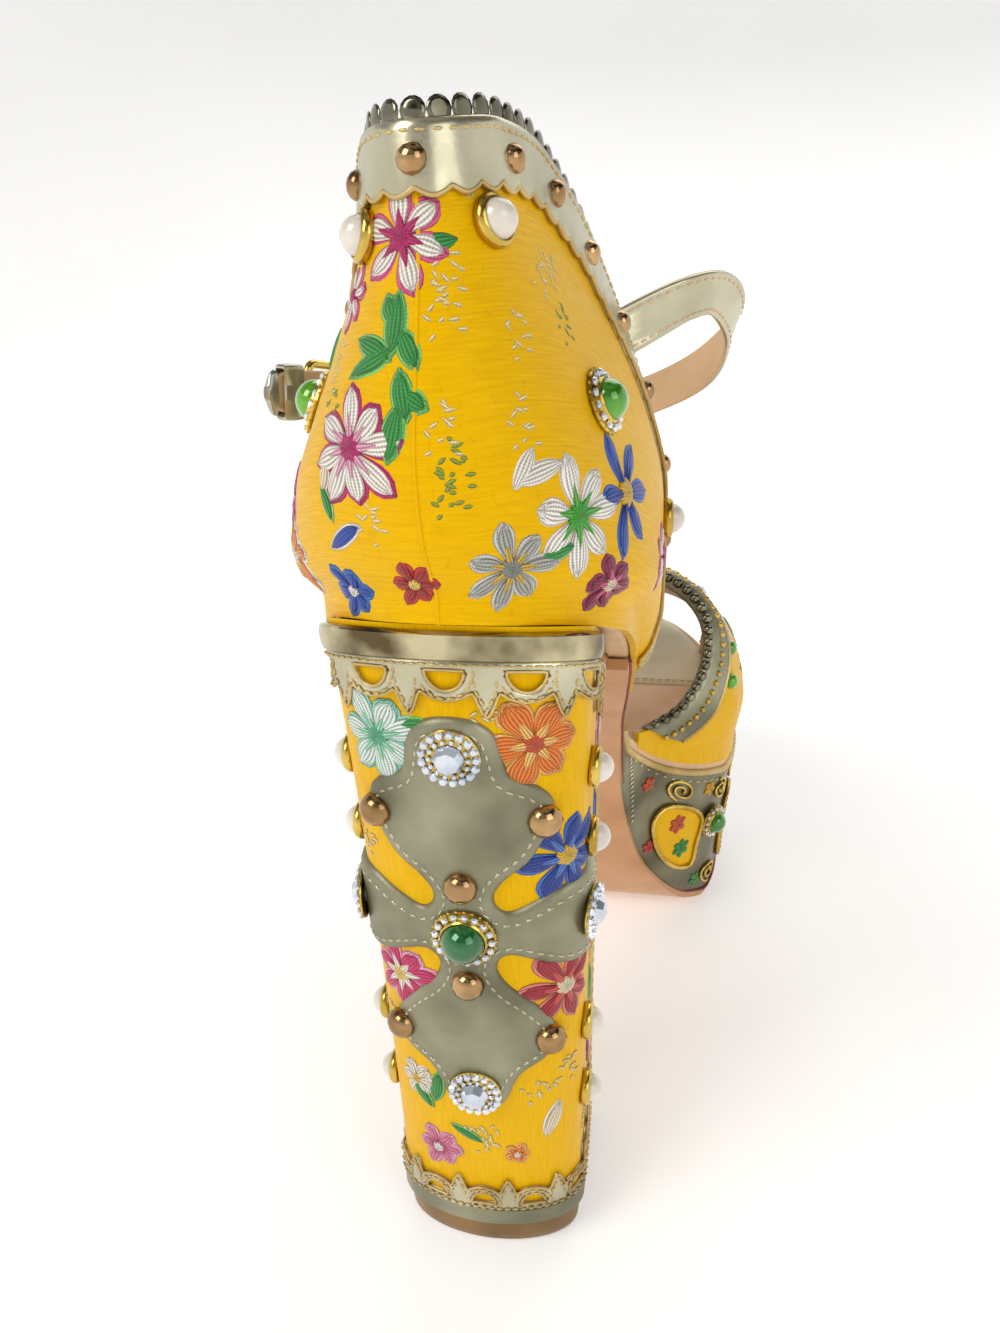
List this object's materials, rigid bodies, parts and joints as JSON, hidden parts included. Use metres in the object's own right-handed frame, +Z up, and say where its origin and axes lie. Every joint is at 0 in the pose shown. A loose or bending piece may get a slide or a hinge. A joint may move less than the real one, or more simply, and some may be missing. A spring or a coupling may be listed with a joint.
{
  "type": "platform high heel",
  "caption": "Left platform sandal with a high block heel, a closed brocade counter, an open-toed vamp and a buckled ankle strap, set with stones and gilt trims.",
  "frame": {"origin": "middle of the heel's tread on the floor", "axes": "+Z up from the floor, +Y from the heel to the toe, +X to the inner side of this left shoe"},
  "size_m": [0.1092, 0.2268, 0.2217],
  "materials": {
    "brocade": "satin brocade with floral embroidery",
    "pewter_leather": "metallic, stitched",
    "gold_leather": "pale metallic, stitched",
    "gilt": "polished",
    "sole_leather": "smooth tan",
    "sock_leather": "matt cream",
    "tread": "satin",
    "pearl": "pearlescent",
    "green_stone": "foil-backed cabochon",
    "crystal": "cut and set"
  },
  "bodies": {
    "root": {"outsole": "sole_leather", "board": "brocade", "platform": "pewter_leather", "insole": "sock_leather", "counter": "brocade", "topline_band": "gold_leather", "vamp": "brocade", "throat_band": "pewter_leather", "heel": "brocade", "top_lift": "tread", "heel_top_band": "gilt", "heel_top_trim": "gold_leather", "heel_foot_trim": "gold_leather", "heel_applique": "gold_leather", "cluster_top": "crystal", "cluster_foot": "crystal", "stud_above_stone": "gilt", "stud_below_stone": "gilt", "cabochon_heel": "green_stone", "ankle_strap": "gold_leather", "buckle_strap": "gold_leather", "buckle": "gilt", "buckle_prong": "gilt", "keeper": "gold_leather", "pearl_inner_1": "pearl", "pearl_inner_2": "pearl", "pearl_inner_3": "pearl", "pearl_inner_4": "pearl", "cluster_inner": "crystal", "stud_upper_inner": "gilt", "stud_lower_inner": "gilt", "pearl_counter_inner": "pearl", "cabochon_counter_inner": "green_stone", "pearl_edge_inner": "pearl", "cabochon_platform_inner": "green_stone", "pearl_outer_1": "pearl", "pearl_outer_2": "pearl", "pearl_outer_3": "pearl", "pearl_outer_4": "pearl", "cluster_outer": "crystal", "stud_upper_outer": "gilt", "stud_lower_outer": "gilt", "pearl_counter_outer": "pearl", "cabochon_counter_outer": "green_stone", "pearl_edge_outer": "pearl", "cabochon_platform_outer": "green_stone"}
  },
  "joints": []
}
